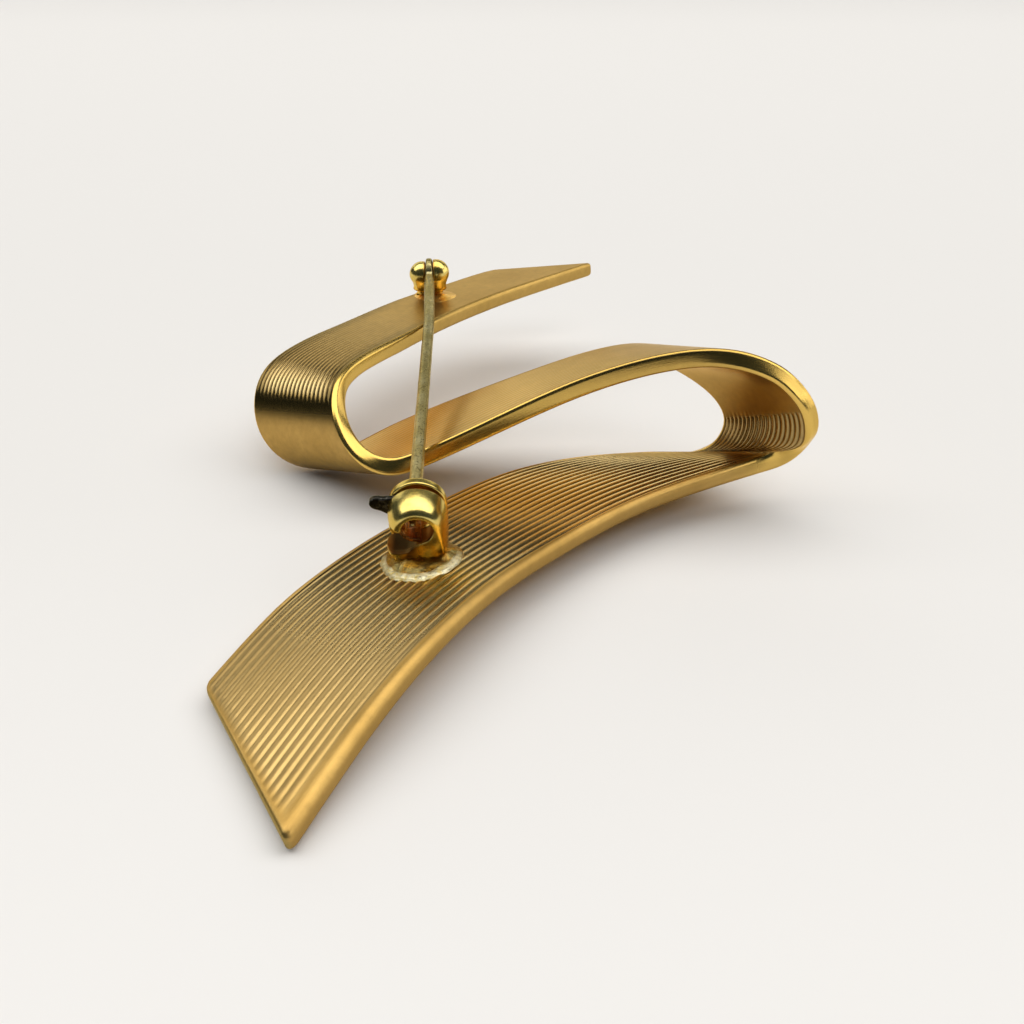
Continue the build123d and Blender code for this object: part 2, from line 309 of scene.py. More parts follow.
def finish_and_shade_masks(points, x, y, share, place, end, rims, pinned):
    """How strongly each change of the metal shows, from 0 to 1, at each point of the ribbon. The painted
    shade, the rims' lower shade and the dark band are painted shade and painted dark reflections, not changes
    of the metal.
    Most are eased steps between two places along the folds. The orange spot is a bell round a spot beside the
    catch, e to the minus square of the distance."""
    p = place[:, None]
    # The places below darken the colour as painted shade and painted dark reflections: the right loop's
    # inside, the left loop's outer face and its bottom, the narrow tail, the wide tip, the end of the middle
    # band, the tails' rims and the borders beside the rims.
    in_right_loop = between(p, 7.8, 9.4, 13.6, 15.4)
    left_face = between(p, 18.0, 20.5, 24.0, 24.9)
    narrow_tail = ease(p, 24.6, 25.8) * (0.64 + 0.22 * bulge(p, 26.2, 1.5))
    wide_tip = 1 - ease(p, 2.2, 4.8)
    loop_bottom = bulge(p, 21.4, 1.1)
    # A band across the left loop's outer face, where a painted dark reflection goes.
    dark_line = bulge(p, 24.15, 0.42)
    band_end = (1 - pinned) * between(p, 14.0, 15.5, 16.8, 18.6)
    tail_rims = rims * np.maximum(1 - ease(p, 5.0, 8.0), ease(p, 26.0, 28.0))
    # Borders beside the rims on the narrow tail and left loop, darkened as painted dark reflection.
    beside_rims = bulge(share, 0.0, 0.09) + bulge(share, 1.0, 0.10)
    borders = pinned * between(p, 24.0, 24.6, 26.6, 28.4) * beside_rims
    # The sum below is painted shade and painted dark reflection, not a dull finish of the metal.
    painted_shade = 0.55 * in_right_loop + 0.60 * left_face + narrow_tail + 0.4 * loop_bottom + 0.36 * wide_tip
    painted_shade = pinned * painted_shade + borders + 0.5 * band_end + 0.56 * tail_rims
    # An orange spot on the metal beside the catch.
    orange_spot_centre = CATCH + [1.9, -3.9, -2.9]
    from_orange_spot = np.linalg.norm((points - orange_spot_centre) / [2.0, 1.8, 1.4], axis=-1)
    return {
        "polish": ease(p, 6.0, 8.5) * (1 - 0.6 * ease(p, 26.5, 28.5)) + 0 * x,
        # Painted shade on the lower part of the rims, weaker along the loops.
        "rim_lower_shade": rims * (1 - ease(y, -0.05, 0.30)) * (1 - 0.6 * ease(p, 6.0, 9.0)),
        "painted_shade": np.clip(painted_shade, 0, 1),
        # Painted dark reflection: the band on the left loop and the borders beside the rims.
        "dark_reflection_band": np.clip(pinned * dark_line + 0.55 * borders, 0, 1),
        "cut_end": (1 - ease(end, 0.0, 0.34))[:, None] + 0 * x,
        "orange_spot": bulge(from_orange_spot, 0, 1.0) * pinned,
    }


def ribbon_piece():
    """The ribbon: a flat bar's outline with rounded rims and reeded sides, carried along the fold lines.
    A reeded side's height is half the thickness less the rib depth times one minus the size of a sine of the
    rib's phase, so the ribs are small arches side by side. A rim is a flat with a slight crown and two
    roundings. Side a is the pinned one and side b the other."""
    length = KNOTS[-1]
    close = np.array([0.008, 0.03, 0.06, 0.10, 0.15, 0.20, 0.26, 0.36])
    even = np.linspace(0, 1, RIBBON_ROWS - 2 * len(close))
    where = np.sort(np.concatenate([even * length, close, length - close]))
    place = np.interp(where, KNOTS, np.arange(len(KNOTS)))
    near, far, across, off_side = ribbon_lines(where)
    width = np.linalg.norm(far - near, axis=1)
    to_stop = length - where
    end = np.minimum(where, to_stop)
    wander = 0.012 * np.abs(np.sin(0.9 * where + 0.4) * np.sin(0.37 * where))
    near_cut = cut_corner(where, *WIDE_NEAR_CORNER) + cut_corner(to_stop, *NARROW_NEAR_CORNER) + wander
    far_cut = cut_corner(where, *WIDE_FAR_CORNER) + cut_corner(to_stop, *NARROW_FAR_CORNER)
    edge = END_EDGE - np.sqrt(np.clip(END_EDGE ** 2 - np.clip(END_EDGE - end, 0, None) ** 2, 0, None))
    thick = THICKNESS / 2 - edge
    rim = RIM_RADIUS + WIDE_TAIL_RIM * (1 - ease(place, 5.0, 8.0)) - edge
    left = -width / 2 + near_cut + rim
    flat = width - near_cut - far_cut - 2 * rim

    # The bare borders beside the ribs are wider towards the wide tip and on the left loop.
    tip_share = np.exp(-where / 9.0)
    loop_share = ease(place, 22, 24)
    near_border = 0.10 + 0.62 * tip_share + 0.17 * loop_share
    far_border = 0.10 + 0.10 * tip_share + 0.10 * loop_share
    start = (near_border / flat)[:, None]
    stop = (1 - far_border / flat)[:, None]

    # How deep the ribs are along the ribbon, as a share of their full depth
    wide_tail = ease(where, 0.30, 0.9) * (0.5 + 0.5 * ease(place, 0.8, 3.2))
    wide_tail = wide_tail * (1 - 0.65 * ease(place, 6.6, 7.6)) * (1 - ease(place, 8.2, 8.6))
    right_loop = 0.75 * between(place, 8.6, 9.6, 12.05, 12.20)
    left_loop = between(place, 24.34, 24.40, 26.0, 28.2) * (1 - 0.5 * ease(place, 24.9, 25.8))
    zone_a = np.maximum(wide_tail, right_loop) + left_loop
    zone_b = 0.40 * between(place, 15.6, 17.4, 22.4, 22.6)

    def side(samples, zone):
        """Across one flat side: its share from the near rim, the arch of the ribs and the rib zone."""
        phase = np.arange(RIB_COUNT * samples + 1) / samples
        arch = np.abs(np.sin(np.pi * phase))
        share = start + (stop - start) * phase / RIB_COUNT
        zeros, ones = np.zeros_like(start), np.ones_like(start)
        share = np.concatenate([zeros, start * 0.5, share, (1 + stop) / 2, ones], axis=1)
        near_corner = np.exp(-where / 7.0)[:, None] * bulge(share * width[:, None], 0, 1.6)
        inside = np.concatenate([[0, 0], np.ones(len(arch)), [0, 0]])
        full_arch = np.broadcast_to(np.concatenate([[1, 1], arch, [1, 1]]), share.shape)
        return share, full_arch, inside * zone[:, None] * (1 - 0.75 * near_corner)

    share_a, arch_a, rib_a = side(8, zone_a)
    share_b, arch_b, rib_b = side(6, zone_b)
    depth = np.minimum(RIB_DEPTH, RIB_STEEPNESS * flat / RIB_COUNT)[:, None]
    x_a = (left[:, None] + share_a * flat[:, None])
    y_a = thick[:, None] - depth * (1 - arch_a) * rib_a
    x_b = (left[:, None] + share_b * flat[:, None])[:, ::-1]
    y_b = (-thick[:, None] + depth * (1 - arch_b) * rib_b)[:, ::-1]
    turn = np.linspace(0, np.pi / 2, 9)[None, :]
    upper, lower = turn[:, 1:], turn[:, :-1]
    face = np.linspace(1, -1, 7)[None, 1:-1]
    r, t = rim[:, None], thick[:, None]
    rim_x = np.concatenate([np.sin(upper) * r, r + 0 * face, np.cos(lower) * r], axis=1)
    rim_y = np.concatenate([np.cos(upper) * r + t - r, face * (t - r), -np.sin(lower) * r - t + r], axis=1)
    rim_x = rim_x - RIM_CROWN * (rim_y / (THICKNESS / 2)) ** 2
    x = np.concatenate([x_a, (left + flat)[:, None] + rim_x, x_b, left[:, None] - rim_x], axis=1)
    y = np.concatenate([y_a, rim_y, y_b, -rim_y], axis=1)
    middle = (near + far) / 2
    points = middle[:, None] + x[..., None] * across[:, None] + y[..., None] * off_side[:, None]

    rim_part = np.ones(rim_x.shape)
    none_a, none_b, none_rim = np.zeros_like(share_a), np.zeros_like(share_b), np.zeros(rim_x.shape)
    rims = np.concatenate([none_a, rim_part, none_b, rim_part], axis=1)
    pinned = np.concatenate([none_a + 1, none_rim, none_b, none_rim], axis=1)
    share = np.concatenate([share_a, rim_part, share_b[:, ::-1], none_rim], axis=1)
    # Painted shade and dark reflection in the rib valleys, weaker near the wide tip and half as strong on
    # side b.
    valley_shade_a = (1 - arch_a) * rib_a * (0.5 + 0.5 * ease(place, 1.2, 4.0))[:, None]
    valley_shade_b = 0.5 * ((1 - arch_b) * rib_b)[:, ::-1]
    masks = {"rim": rims,
             "valley_shade": np.concatenate([valley_shade_a, none_rim, valley_shade_b, none_rim], axis=1),
             "rib_zone": np.concatenate([rib_a, none_rim, rib_b[:, ::-1], none_rim], axis=1),
             "flow": np.stack([where[:, None] + 0 * x, x, y], axis=-1)}
    masks.update(finish_and_shade_masks(points, x, y, share, place, end, rims, pinned))
    return {"points": points, "masks": masks}


def case_masks(grid, u, v, along, front):
    """Where the catch is brown inside, amber low down as a painted reflection of the gold below, and black on
    the mouth's floor as painted shadow, from 0 to 1. All are eased steps: u is the way out from the inner
    line, v the way to the front and along the share of the path, which starts on the mouth's floor."""
    floor = (1 - ease(u, 0.0, 0.10)) * (1 - ease(along, 0.24, 0.34))[:, None]
    bore = (1 - ease(u, 0.02, 0.20)) * (1 - ease(v, front - 0.45, front - 0.15))
    # Painted reflection of the gold below: amber on the catch's underside and its right column.
    underside = (1 - ease(grid[..., 1], -1.7, -0.3)) * ease(grid[..., 0], -1.7, 0.6)
    right_column = ease(grid[..., 0], 0.7, 1.5) * (1 - ease(grid[..., 1], -0.5, 0.9))
    # Black deep inside the mouth's floor: painted shadow.
    deep_shadow = floor * ease(grid[..., 0], -1.72, -1.28) * (1 - 0.2 * ease(v, front - 0.6, front - 0.1))
    return {"inside": np.maximum(bore, floor), "low": np.maximum(underside, right_column), "deep_shadow": deep_shadow}


def split_ring(lines, low, high, lip, roundings, rows, swell, tongue):
    """A ring or block of the catch: a rounded outline between an inner and an outer line, carried along both.
    lines hold inner x y and outer x y, joined by smooth curves. lip is how far the inside is drawn in at the
    front. roundings are the radii at the back inside, back outside, front outside (across and along) and
    front inside. swell is the height of slow waves on the outside, products of two sines. tongue is the share
    of the path over which the first end closes in a half oval, seen from above."""
    near_end = END_STEPS[:-1]
    inner_steps = np.linspace(END_STEPS[-1], 1 - END_STEPS[-1], rows - 2 * len(near_end))
    along = np.concatenate([near_end, inner_steps, 1 - near_end[::-1]])
    both = through(np.linspace(0, 1, len(lines)), lines, along)
    start, stop = both[:, :2], both[:, 2:]
    wall = np.linalg.norm(stop - start, axis=1)
    out = (stop - start) / wall[:, None]
    small = np.clip(wall / THIN_WALL, 0.1, 1)
    narrow = small * (1 - 0.8 * ease(-stop[:, 1], 1.9, 2.7))
    draw = lip * ease(along, 0.16, 0.30) * np.clip(wall / THIN_WALL, 0, 1) + 0.02
    zero = np.zeros(rows)
    corners = np.stack([np.stack([zero, zero + low], -1), np.stack([wall, zero + low], -1),
                        np.stack([wall, zero + high], -1), np.stack([-draw, zero + high], -1),
                        np.stack([-draw, zero + high - 0.24], -1), np.stack([zero, zero + high - 0.36], -1)],
                       axis=1)
    back_in, back_out, front_across, front_along, front_in = roundings
    front_across = np.minimum(front_across * narrow, 0.85 * (wall + draw) - front_in * small)
    before = np.stack([back_in * small, back_out * small, front_along * narrow, front_in * small, 0.07 + zero,
                       0.06 + zero], axis=1)
    after = np.stack([back_in * small, back_out * small, front_across, front_in * small, 0.06 + zero,
                      0.10 + zero], axis=1)
    outline = rounded_outline(corners, before, after, 9)
    shrink = np.interp(np.minimum(along, 1 - along), END_STEPS, END_SHRINK)
    shrink = shrink * np.minimum(1, 0.3 * wall / END_SHRINK[0])
    middle = outline.mean(axis=1, keepdims=True)
    span = np.stack([np.maximum(wall, 0.3), np.ones(rows) * (high - low)], -1)
    outline = middle + (outline - middle) * (1 - 2 * shrink[:, None] / span)[:, None]
    oval = np.sqrt(1 - (1 - np.clip(along / tongue, 0.03, 1)) ** 2)[:, None]
    u, v = outline[..., 0], (low + high) / 2 + (outline[..., 1] - (low + high) / 2) * oval
    turn = np.arctan2(both[:, 1], both[:, 0])[:, None]
    u = u + swell * np.sin(3.1 * turn) * np.sin(2.3 * v + 1.7) * np.clip(u / wall[:, None], 0, 1)
    flat = start[:, None] + out[:, None] * u[..., None]
    grid = np.concatenate([flat, v[..., None]], axis=-1)
    return {"points": placed(grid, CATCH), "masks": case_masks(grid, u, v, along, high)}


def around(radius, degrees):
    """Points of a circle at angles in degrees."""
    angle = np.radians(degrees)
    return np.stack([np.cos(angle), np.sin(angle)], axis=-1) * radius


def catch_case():
    """The catch: a domed front ring and a thin back ring, open low on the left, and the low web that joins
    them. The path of each starts on the mouth's floor. Then the inner line goes round the bore in an arc, and
    the outer line round the foot and the outside."""
    mouth_floor = [[-1.74, -1.38], [-1.30, -1.52], [-0.85, -1.52], [-0.45, -1.42], [-0.05, -1.18]]
    low_outside = [[-1.76, -1.46], [-1.62, -1.95], [-1.40, -2.45], [-0.9, -2.95], [-0.1, -3.0],
                   [0.8, -3.0], [1.55, -2.7], [1.70, -1.6], [1.70, -0.4]]
    inside = np.concatenate([mouth_floor, around(BORE_RADIUS, [-70, -45, -20, 5, 35, 65, 95, 125, 155, 180])])
    outside = np.concatenate([low_outside, around(CATCH_RADIUS, [22, 55, 90, 122, 152, 176])])
    lines = np.concatenate([inside, outside], axis=1)
    front = CATCH_LENGTH / 2
    front_back = front - FRONT_LENGTH
    back_front = front_back - GROOVE
    return [
        split_ring(lines, front_back, front, lip=0.20, roundings=(0.05, 0.06, 0.80, 1.72, 0.07), rows=170,
                   swell=0.02, tongue=0.07),
        split_ring(lines, -front, back_front, lip=0.0, roundings=(0.05, 0.16, 0.12, 0.12, 0.05), rows=150,
                   swell=0.0, tongue=0.03),
        split_ring(lines[3:8] * WEB_SHARE, back_front - 0.2, front_back + 0.2, lip=0.0, roundings=(0.02,) * 5,
                   rows=50, swell=0.0, tongue=0.001),
    ]


def sleeve_tube():
    """The split sleeve in the bore: a rounded rectangle carried round it, smaller at its two ends."""
    low, high = -CATCH_LENGTH / 2 + SLEEVE_BACK_SETBACK, CATCH_LENGTH / 2 - SLEEVE_FRONT_SETBACK
    close = np.array([0.0, 0.6, 1.6])
    degrees = np.concatenate([SLEEVE_START + close, np.linspace(SLEEVE_START + 3.3, SLEEVE_STOP - 3.3, 114),
                              SLEEVE_STOP - close[::-1]])
    wall = SLEEVE_OUTSIDE - SLEEVE_BORE
    box = np.array([[0, low], [wall, low], [wall, high], [0, high]]) * np.ones((len(degrees), 1, 1))
    inset = np.zeros(len(degrees))
    inset[:3] = 0.06, 0.025, 0.006
    inset[-3:] = inset[2::-1]
    box = box + inset[:, None, None] * [[1, 1], [-1, 1], [-1, -1], [1, -1]]
    radii = np.full(box.shape[:2], 0.06)
    outline = rounded_outline(box, radii, radii, 8)
    flat = around(1.0, degrees)[:, None] * (SLEEVE_BORE + outline[..., :1])
    return np.concatenate([flat, outline[..., 1:]], axis=-1)


def sleeve_tab():
    """The flat tab that turns the sleeve: a rounded rectangle carried outwards. Its width narrows slowly and
    closes in a half round, the root of one minus the square of the way into the round end."""
    round_end = TAB_STRAIGHT + (TAB_ROUND - 0.01) * np.sin(np.linspace(0.06, np.pi / 2, 22))
    reach = np.concatenate([np.linspace(0.9, TAB_STRAIGHT, 16), round_end])
    half = np.sqrt(np.clip(1 - (np.clip(reach - TAB_STRAIGHT, 0, None) / TAB_ROUND) ** 2, 0.001, None))
    half = half * (TAB_HALF_WIDTH + TAB_ROOT_FLARE * (1 - ease(reach, 1.4, 2.25)))
    thick = TAB_HALF_THICKNESS * np.clip(half / 0.14, 0.15, 1)
    box = np.stack([half, thick], axis=-1)[:, None] * [[-1, -1], [1, -1], [1, 1], [-1, 1]]
    radii = np.minimum(0.11, 0.8 * np.minimum(half, thick))[:, None] * np.ones(4)
    outline = rounded_outline(box, radii, radii, 8)
    angle = np.radians(TAB_ANGLE)
    out = np.array([math.cos(angle), math.sin(angle), 0])
    side = np.array([-math.sin(angle), math.cos(angle), 0])
    centre = np.array([0, 0, CATCH_LENGTH / 2 - FRONT_LENGTH - GROOVE / 2])
    return centre + reach[:, None, None] * out + outline[..., :1] * side + outline[..., 1:] * [0, 0, 1]


def turning_sleeve():
    """The sleeve and its tab, told apart by the mask of the tab."""
    parts = []
    for grid, is_tab in ((sleeve_tube(), 0.0), (sleeve_tab(), 1.0)):
        parts.append({"points": placed(grid, CATCH), "masks": {"tab": np.full(grid.shape[:2], is_tab)}})
    return parts


def pin_piece():
    """The pin: a superellipse carried along two straight runs joined by a hyperbola at the bend.
    Past the bend the middle is half the sum of both slopes times z plus half their difference times the root
    of z squared and a small square. Its half height is that of the eye's disc, then the wire's radius. Its
    half width grows from the eye to the wire."""
    reach = REACH + CATCH_LENGTH / 2 - TIP_SETBACK
    disc = -EYE_RADIUS * np.cos(np.linspace(0.04, np.pi - 0.45, 60))
    wire = np.linspace(disc[-1], reach - POINT_LENGTH, 150)[1:]
    point = reach - POINT_LENGTH * (1 - np.sin(np.linspace(0, np.pi / 2, 24))[1:])
    z = np.concatenate([disc, wire, point])
    to_bend = BEND[:2] / BEND[2]
    to_tip = (np.array([TIP_SIDE, 0.0]) - BEND[:2]) / (reach - BEND[2])
    past = z - BEND[2]
    corner = np.sqrt(past ** 2 + BEND_SOFTNESS ** 2)[:, None]
    middle = BEND[:2] + (to_bend + to_tip) / 2 * past[:, None] + (to_tip - to_bend) / 2 * corner
    eye_height = np.sqrt(np.clip(EYE_RADIUS ** 2 - z ** 2, 0, None))
    taper = np.clip((z - (reach - POINT_LENGTH)) / POINT_LENGTH, 0, 1)
    radius = WIRE_RADIUS + (POINT_RADIUS - WIRE_RADIUS) * taper
    radius = radius * np.sqrt(np.clip(1 - ease(z, reach - 0.12, reach) ** 4, 0.02, 1))
    radius = radius * (1 + 0.012 * np.sin(2.9 * z) * np.sin(1.1 * z + 0.7))
    height = np.where(z < 0, eye_height, (eye_height ** 6 + radius ** 6) ** (1 / 6))
    widen = ease(z, 0.9, 2.1)
    width = EYE_HALF_THICKNESS * (1 - widen) + radius * widen
    width = np.minimum(width, np.maximum(height, 0.05))
    power = (2 / (2 + 2.6 * (1 - widen)))[:, None]
    turn = np.linspace(0, 2 * np.pi, 49)[:-1][None, :]
    c, s = np.cos(turn), np.sin(turn)
    x = width[:, None] * np.sign(c) * np.abs(c) ** power + middle[:, :1] * ease(z, -0.5, 1.5)[:, None]
    y = height[:, None] * np.sign(s) * np.abs(s) ** power + middle[:, 1:] * ease(z, -0.5, 1.5)[:, None]
    grid = np.stack([x, y, z[:, None] + 0 * x], axis=-1)
    ends = np.array([-1, -0.97, -0.9, 0.9, 0.97, 1]) * AXLE_HALF_LENGTH
    radii = np.array([0.85, 0.95, 1, 1, 0.95, 0.85]) * AXLE_RADIUS
    axle = np.stack([ends[:, None] + 0 * c, radii[:, None] * c, radii[:, None] * s], axis=-1)
    near_catch = ease(z, 16, reach - 2)[:, None] * np.ones_like(x)
    return [
        {"points": placed(grid, HINGE), "masks": {"near_catch": near_catch}},
        {"points": placed(axle, HINGE), "masks": {"near_catch": np.zeros(axle.shape[:2])}},
    ]


def hinge_cheeks():
    """Two egg-shaped cheeks turned round upright axes, cut flat along the slit, on one hollowed oval foot.
    A cheek's radius is a ball's down to the neck, then a waist, then a flare into the foot."""
    t = np.linspace(0.05, 1.95, 34)
    ball_y, ball_r = BALL_RADIUS * np.cos(t), BALL_RADIUS * np.sin(t)
    neck_y = np.array([-0.55, -0.75, -0.95, -1.10, -1.22, -1.32])
    neck_r = np.array([0.90, 0.83, 0.78, 0.76, 0.77, 0.80])
    y = np.concatenate([ball_y, neck_y])[:, None]
    r = np.concatenate([ball_r, neck_r])[:, None]
    turn = np.linspace(0, 2 * np.pi, 73)[:-1][None, :]
    parts = []
    for side in (-1, 1):
        x = r * np.cos(turn)
        depth = x * side + BALL_OFFSET
        soft = HALF_SLIT + 0.05 * np.logaddexp(0, (depth - HALF_SLIT) / 0.05)
        x = (soft - BALL_OFFSET) * side
        lower = LEFT_BALL_DROP * (side < 0) * ease(y, -1.0, 0.2)
        grid = np.stack([x + side * BALL_OFFSET, y - lower + 0 * x, r * np.sin(turn)], axis=-1)
        slit = np.exp(-((np.abs(grid[..., 0]) - HALF_SLIT) / 0.12) ** 2)
        # Amber on the cheeks' lower part, a painted reflection of the gold below.
        low = 1 - ease(grid[..., 1], -1.35, -0.75)
        parts.append({"points": placed(grid, HINGE), "masks": {"inside": slit, "low": low, "deep_shadow": slit * 0}})
    level = np.array([-1.20, -1.205, -1.22, -1.30, -1.45, -1.60, -1.72, -1.82, -1.92, -2.05])[:, None]
    grow = np.array([-0.30, -0.10, -0.03, 0.0, 0.01, 0.03, 0.07, 0.13, 0.22, 0.34])[:, None]
    c, s = np.cos(turn), np.sin(turn)
    foot_x = (1.02 + grow * 0.9) * np.sign(c) * np.abs(c) ** 0.85
    foot_z = (0.62 + grow) * np.sign(s) * np.abs(s) ** 0.85
    foot = np.stack([foot_x, level + 0 * c, foot_z], axis=-1)
    # Amber on the foot, a painted reflection of the gold below.
    low = 1 - ease(foot[..., 1], -1.9, -1.2)
    parts.append({"points": placed(foot, HINGE), "masks": {"inside": low * 0, "low": low, "deep_shadow": low * 0}})
    return parts


def solder_mound(place, across, outline, height, lumps, seed, edge=0.55):
    """A low lumpy mound of solder on the metal round a foot.
    A smooth closed curve through the outline's points, x and z from the foot's middle, shrinks to its own
    centre ring by ring. The height is one minus the cube of the ring's share, to the power of edge, with
    bells added for lumps, and sines for small waves. A lump is its x, z, size and height."""
    wrapped = np.concatenate([outline[-3:], outline, outline[:4]])
    knots = np.arange(len(wrapped)) - 3.0
    curve = through(knots, wrapped, np.linspace(0, len(outline), 145)[:-1])
    rings = np.sin(np.linspace(1, 0, 46) * np.pi / 2)[:, None]
    centre = outline.mean(axis=0)
    rough = np.random.default_rng(seed)
    phases = rough.uniform(0, 2 * np.pi, 8)
    turn = np.linspace(0, 2 * np.pi, 145)[:-1]
    ragged = 1 + sum(0.006 * np.sin((3 * k + 4) * turn + phases[k]) for k in range(5)) * rings ** 12
    x = centre[0] + (curve[:, 0] - centre[0]) * rings * ragged
    z = centre[1] + (curve[:, 1] - centre[1]) * rings * ragged
    rise = height * (1 - rings ** 3) ** edge - 0.06 * ease(rings, 0.94, 1.0) + 0 * x
    for lump_x, lump_z, size, tall in lumps:
        rise = rise + tall * bulge(x, lump_x, size) * bulge(z, lump_z, size) * (1 - rings ** 6)
    ripple = np.sin(5.1 * x + phases[5]) * np.sin(4.3 * z + phases[6])
    ripple = ripple + 0.7 * np.sin(9.7 * x + 6.1 * z + phases[7])
    ripple = ripple + 0.5 * np.sin(17.0 * x - 11.0 * z) * np.sin(7.0 * x + 15.0 * z)
    rise = rise + 0.06 * height * ripple * (1 - rings ** 8)
    step = 0.01
    here = on_metal(np.array(place), np.array(across), np.array(0.0))
    by_place = (on_metal(np.array(place + step), np.array(across), np.array(0.0)) - here) / step
    by_share = (on_metal(np.array(place), np.array(across + step), np.array(0.0)) - here) / step
    basis = np.stack([by_place, by_share], axis=1)
    wanted = x[..., None] * AXLE + z[..., None] * FRONT
    moves = wanted @ np.linalg.pinv(basis).T
    points = on_metal(place + moves[..., 0], across + moves[..., 1], rise)
    masks = {"brim": ease(np.broadcast_to(rings, x.shape), 0.80, 0.88) * ease(z - 0.2 * x, -0.4, 1.2)}
    return {"points": points, "masks": masks}


def feed(tree, socket, value):
    """A number, a colour or another node's output put into a socket."""
    if isinstance(value, bpy.types.NodeSocket):
        tree.links.new(value, socket)
    else:
        socket.default_value = value


def mask(tree, name):
    """One of the piece's own masks as a number."""
    made = tree.nodes.new("ShaderNodeAttribute")
    made.attribute_name = name
    return made.outputs["Fac"]


def blend(tree, share, first, second):
    """A colour between two colours: the first where the share is 0, the second where it is 1."""
    made = tree.nodes.new("ShaderNodeMix")
    made.data_type = "RGBA"
    for index, value in ((0, share), (6, first), (7, second)):
        feed(tree, made.inputs[index], value)
    return made.outputs[2]


def level(tree, share, first, second):
    """A number between two numbers: the first where the share is 0, the second where it is 1."""
    made = tree.nodes.new("ShaderNodeMapRange")
    made.clamp = True
    for name, value in (("Value", share), ("To Min", first), ("To Max", second)):
        feed(tree, made.inputs[name], value)
    return made.outputs["Result"]


def maths(tree, operation, first, second=0.0):
    """A sum, product or lesser of two numbers."""
    made = tree.nodes.new("ShaderNodeMath")
    made.operation = operation
    for socket, value in zip(made.inputs, (first, second)):
        feed(tree, socket, value)
    return made.outputs[0]


def stretch(tree, share, low, high):
    """A number's stretch from low to high made 0 to 1."""
    made = tree.nodes.new("ShaderNodeMapRange")
    made.clamp = True
    for name, value in (("Value", share), ("From Min", low), ("From Max", high)):
        feed(tree, made.inputs[name], value)
    return made.outputs["Result"]


def grain(tree, size, detail=2.0, roughness=0.5, flow=None):
    """Noise with spots of a size in millimetres. With flow it follows the ribbon, stretched along it."""
    made = tree.nodes.new("ShaderNodeTexNoise")
    made.inputs["Detail"].default_value = detail
    made.inputs["Roughness"].default_value = roughness
    place = tree.nodes.new("ShaderNodeMapping")
    if flow:
        source = tree.nodes.new("ShaderNodeAttribute")
        source.attribute_name = "flow"
        tree.links.new(source.outputs["Vector"], place.inputs["Vector"])
        place.inputs["Scale"].default_value = (1 / flow, 1 / size, 1 / size)
    else:
        source = tree.nodes.new("ShaderNodeTexCoord")
        tree.links.new(source.outputs["Object"], place.inputs["Vector"])
        place.inputs["Scale"].default_value = (1 / MM / size,) * 3
    tree.links.new(place.outputs["Vector"], made.inputs["Vector"])
    made.inputs["Scale"].default_value = 1.0
    return made.outputs["Fac"]


def metal(name):
    """An empty metal finish: its material, tree and shader."""
    material = bpy.data.materials.new(name)
    material.use_nodes = True
    tree = material.node_tree
    shader = tree.nodes["Principled BSDF"]
    shader.inputs["Metallic"].default_value = 1.0
    shader.inputs["Specular Tint"].default_value = (1.0, 0.88, 0.62, 1)
    return material, tree, shader


def relief(tree, shader, parts):
    """Bumps one on another. Each is a height, how deep it is in millimetres, and how strong."""
    below = None
    for height, depth, strength in parts:
        bump = tree.nodes.new("ShaderNodeBump")
        bump.inputs["Distance"].default_value = depth * MM
        bump.inputs["Strength"].default_value = strength
        tree.links.new(height, bump.inputs["Height"])
        if below:
            tree.links.new(below, bump.inputs["Normal"])
        below = bump.outputs["Normal"]
    tree.links.new(below, shader.inputs["Normal"])


def shaded(tree, shader, base, rough):
    """The finish's colour and roughness put into its shader."""
    tree.links.new(base, shader.inputs["Base Color"])
    tree.links.new(rough, shader.inputs["Roughness"])


def times(tree, first, second):
    """A product of two numbers."""
    return maths(tree, "MULTIPLY", first, second)


